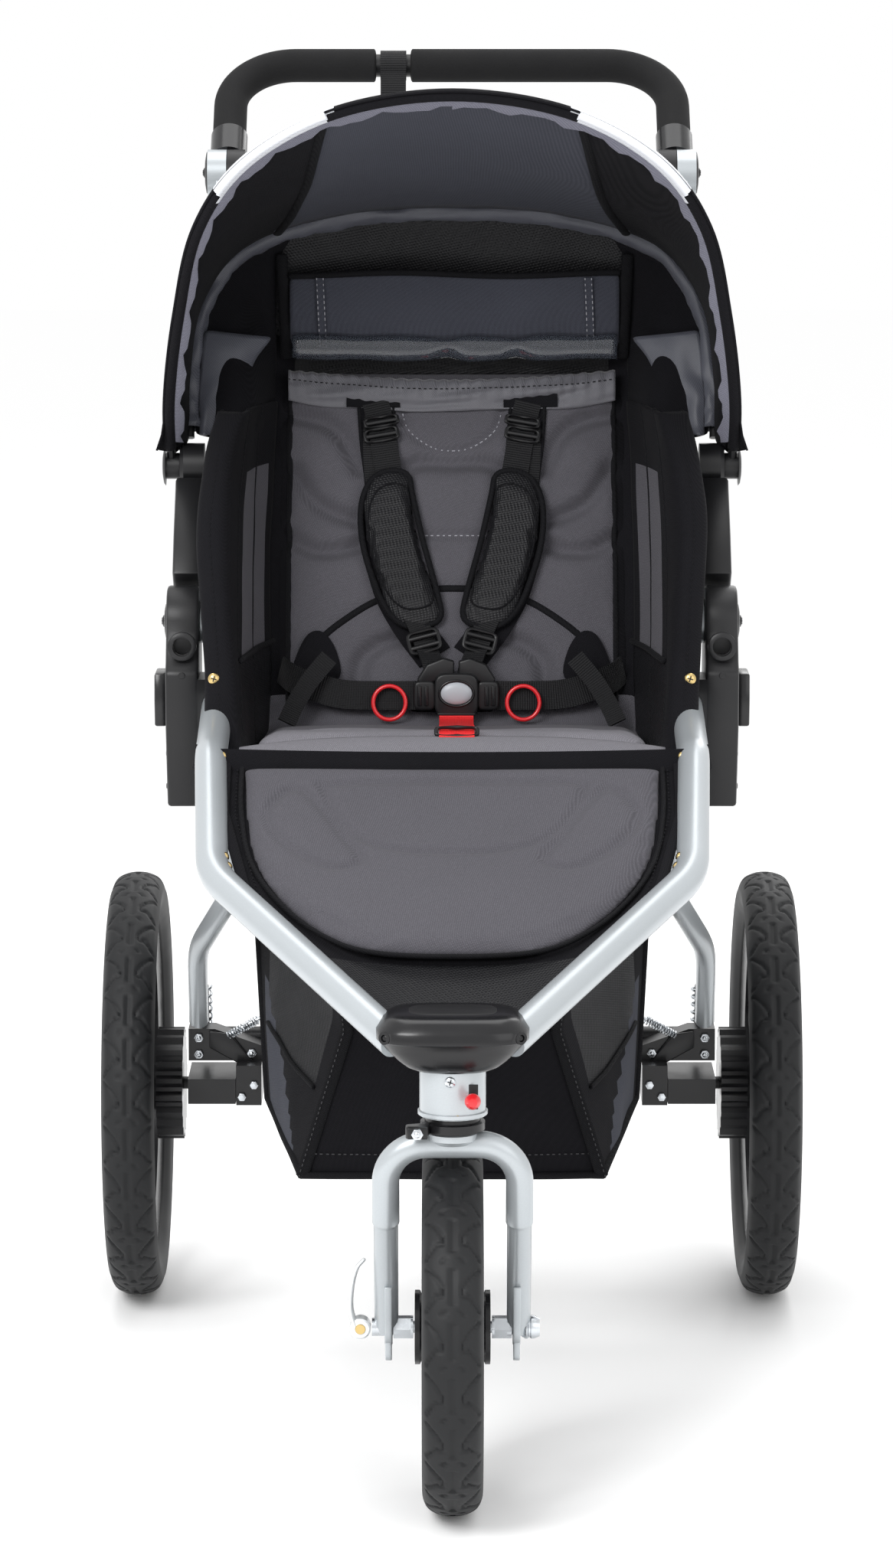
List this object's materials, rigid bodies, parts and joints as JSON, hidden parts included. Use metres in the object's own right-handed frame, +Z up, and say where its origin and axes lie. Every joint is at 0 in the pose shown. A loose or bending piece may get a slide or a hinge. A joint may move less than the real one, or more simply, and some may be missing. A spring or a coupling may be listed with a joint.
{
  "type": "jogging stroller",
  "caption": "Three-wheel jogging stroller with swivel front wheel, padded seat with harness, folding frame, reclining back, tilting handlebar and canopy.",
  "frame": {"origin": "centre of the footprint box on the floor, z = 0 where the tyres stand", "axes": "+Z up, -Y the way the stroller rolls, so its front wheel is at -Y; +X to its left as a rider sits, the right side seen from the front"},
  "size_m": [0.648, 1.1161, 1.1809],
  "materials": {
    "silver_paint": "satin silver-grey paint on round tube",
    "black_plastic": "moulded black plastic with a fine grain",
    "black_steel": "black powder coat",
    "zinc_plate": "bright zinc plate",
    "tyre_rubber": "black rubber with a moulded tread",
    "grip_foam": "matte black foam",
    "grey_fabric": "mid-grey woven polyester, padded",
    "black_fabric": "black woven polyester",
    "black_webbing": "ribbed black webbing",
    "red_webbing": "red ribbed webbing",
    "red_plastic": "glossy red plastic",
    "grey_button": "pale grey oval button",
    "white_metal": "white and silver cast lever"
  },
  "bodies": {
    "frame": {"main_tube_left": "silver_paint", "main_tube_right": "silver_paint", "head_tube": "silver_paint", "swivel_bearing": "black_steel", "front_housing": "black_plastic", "frame_pivot_tube": "silver_paint", "side_moulding_left": "black_plastic", "side_moulding_right": "black_plastic", "footrest_panel": "grey_fabric", "seat_base": "grey_fabric", "side_wing_left": "black_fabric", "side_wing_right": "black_fabric", "waist_strap_left": "black_webbing", "waist_strap_right": "black_webbing", "crotch_strap": "red_webbing", "buckle": "black_plastic", "basket": "black_fabric"},
    "fork": {"fork": "silver_paint", "front_axle": "zinc_plate", "axle_end_nut": "zinc_plate"},
    "front_wheel": {"front_tyre": "tyre_rubber", "front_wheel_rim": "black_plastic"},
    "quick_release": {"quick_release_lever": "white_metal"},
    "swivel_lock": {"swivel_lock_knob": "red_plastic"},
    "rear_frame": {"rear_leg_left": "silver_paint", "rear_leg_right": "silver_paint", "rear_bracket_left": "black_steel", "rear_bracket_right": "black_steel", "rear_cross_tube": "black_steel", "shock_spring_left": "zinc_plate", "shock_spring_right": "zinc_plate"},
    "suspension_left": {"suspension_arm_left": "black_steel"},
    "suspension_right": {"suspension_arm_right": "black_steel"},
    "rear_wheel_left": {"rear_tyre_left": "tyre_rubber", "rear_wheel_rim_left": "black_plastic", "brake_ring_left": "black_plastic"},
    "rear_wheel_right": {"rear_tyre_right": "tyre_rubber", "rear_wheel_rim_right": "black_plastic", "brake_ring_right": "black_plastic"},
    "brake": {"brake_pedal": "black_steel"},
    "upper_frame": {"upper_arm_left": "silver_paint", "upper_arm_right": "silver_paint", "arm_shroud_left": "black_plastic", "arm_shroud_right": "black_plastic", "canopy_clip_left": "black_plastic", "canopy_clip_right": "black_plastic", "canopy_rear_bow": "black_plastic", "canopy_rear_panel": "black_fabric", "canopy_fabric": "black_fabric"},
    "handlebar": {"handlebar_tube": "black_steel", "grip_left": "grip_foam", "grip_right": "grip_foam", "wrist_strap": "black_webbing"},
    "canopy": {"canopy_front_bow": "black_plastic"},
    "backrest": {"seat_back": "grey_fabric", "shoulder_pad_left": "black_fabric", "shoulder_pad_right": "black_fabric"},
    "harness_button": {"buckle_button": "grey_button"},
    "latch_left": {"fold_latch_left": "black_plastic"},
    "latch_right": {"fold_latch_right": "black_plastic"}
  },
  "joints": [
    {"name": "front_wheel_spin", "type": "hinge", "parent": "fork", "child": "front_wheel", "pos_m": [0, -0.40288, 0.15525], "axis": [1, 0, 0], "continuous": true},
    {"name": "rear_wheel_left_spin", "type": "hinge", "parent": "suspension_left", "child": "rear_wheel_left", "pos_m": [-0.3, 0.33212, 0.20252], "axis": [1, 0, 0], "continuous": true},
    {"name": "rear_wheel_right_spin", "type": "hinge", "parent": "suspension_right", "child": "rear_wheel_right", "pos_m": [0.3, 0.33212, 0.20252], "axis": [1, 0, 0], "continuous": true},
    {"name": "front_swivel", "type": "hinge", "parent": "frame", "child": "fork", "pos_m": [0, -0.45788, 0.334], "axis": [0, 0, 1], "continuous": true},
    {"name": "swivel_lock_pull", "type": "slide", "parent": "frame", "child": "swivel_lock", "axis": [0, -1, 0], "range_m": [0, 0.008], "stiffness_N_per_m": 300},
    {"name": "quick_release_turn", "type": "hinge", "parent": "fork", "child": "quick_release", "pos_m": [-0.076, -0.40288, 0.15525], "axis": [0, -1, 0], "range_deg": [0, 160]},
    {"name": "rear_frame_fold", "type": "hinge", "parent": "frame", "child": "rear_frame", "pos_m": [0, 0.07712, 0.535], "axis": [-1, 0, 0], "range_deg": [0, 70]},
    {"name": "suspension_left_travel", "type": "hinge", "parent": "rear_frame", "child": "suspension_left", "pos_m": [-0.227, 0.27212, 0.21], "axis": [1, 0, 0], "range_deg": [0, 5], "stiffness_Nm_per_rad": 100, "springref_deg": -4.58, "deforming": ["shock_spring_left"]},
    {"name": "suspension_right_travel", "type": "hinge", "parent": "rear_frame", "child": "suspension_right", "pos_m": [0.227, 0.27212, 0.21], "axis": [1, 0, 0], "range_deg": [0, 5], "stiffness_Nm_per_rad": 100, "springref_deg": -4.58, "deforming": ["shock_spring_right"]},
    {"name": "brake_press", "type": "hinge", "parent": "rear_frame", "child": "brake", "pos_m": [0, 0.32712, 0.249], "axis": [-1, 0, 0], "range_deg": [0, 18]},
    {"name": "upper_frame_fold", "type": "hinge", "parent": "frame", "child": "upper_frame", "pos_m": [0, 0.08712, 0.68], "axis": [1, 0, 0], "range_deg": [0, 95]},
    {"name": "handlebar_tilt", "type": "hinge", "parent": "upper_frame", "child": "handlebar", "pos_m": [0, 0.41712, 1.067], "axis": [1, 0, 0], "range_deg": [-60, 45]},
    {"name": "canopy_open", "type": "hinge", "parent": "upper_frame", "child": "canopy", "pos_m": [0, 0.19753, 0.80927], "axis": [1, 0, 0], "range_deg": [-50, 0], "deforming": ["canopy_fabric"]},
    {"name": "seat_recline", "type": "hinge", "parent": "frame", "child": "backrest", "pos_m": [0, 0.16312, 0.56], "axis": [-1, 0, 0], "range_deg": [0, 25]},
    {"name": "buckle_press", "type": "slide", "parent": "frame", "child": "harness_button", "axis": [0, 1, 0], "range_m": [0, 0.003], "stiffness_N_per_m": 400},
    {"name": "latch_left_lift", "type": "slide", "parent": "frame", "child": "latch_left", "axis": [0, 0, 1], "range_m": [0, 0.01], "stiffness_N_per_m": 400},
    {"name": "latch_right_lift", "type": "slide", "parent": "frame", "child": "latch_right", "axis": [0, 0, 1], "range_m": [0, 0.01], "stiffness_N_per_m": 400}
  ]
}
